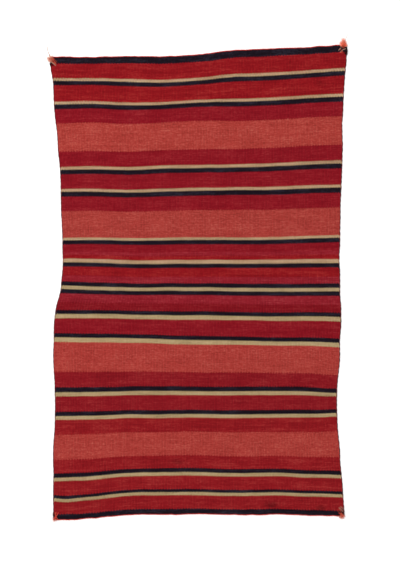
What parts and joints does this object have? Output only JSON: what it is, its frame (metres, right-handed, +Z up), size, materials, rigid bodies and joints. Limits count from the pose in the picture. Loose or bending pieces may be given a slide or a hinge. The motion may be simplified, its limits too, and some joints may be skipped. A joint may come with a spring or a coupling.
{
  "type": "navajo rug",
  "caption": "Flat handwoven wool rug of saddle-blanket size: cross stripes, drawn-in sides, corded edges and knotted corner tufts, lying on a surface.",
  "frame": {"origin": "on the underside, at the middle of the woven length and near the middle of the width", "axes": "+Z up out of the face that shows, +Y along the warps towards the upper end, +X across the stripes' length to the right"},
  "size_m": [0.8276, 1.3448, 0.0069],
  "materials": {
    "striped_wool": "matt weft-faced wool",
    "end_cord_wool": "matt plied wool cord",
    "side_cord_wool": "matt plied wool cord",
    "tuft_wool": "loose matt wool fibres"
  },
  "bodies": {
    "root": {"woven_cloth": "striped_wool", "end_cord_upper": "end_cord_wool", "end_cord_lower": "end_cord_wool", "side_cord_left": "side_cord_wool", "side_cord_right": "side_cord_wool", "corner_tuft_upper_left": "tuft_wool", "corner_tuft_upper_right": "tuft_wool", "corner_tuft_lower_left": "tuft_wool", "corner_tuft_lower_right": "tuft_wool"}
  },
  "joints": []
}
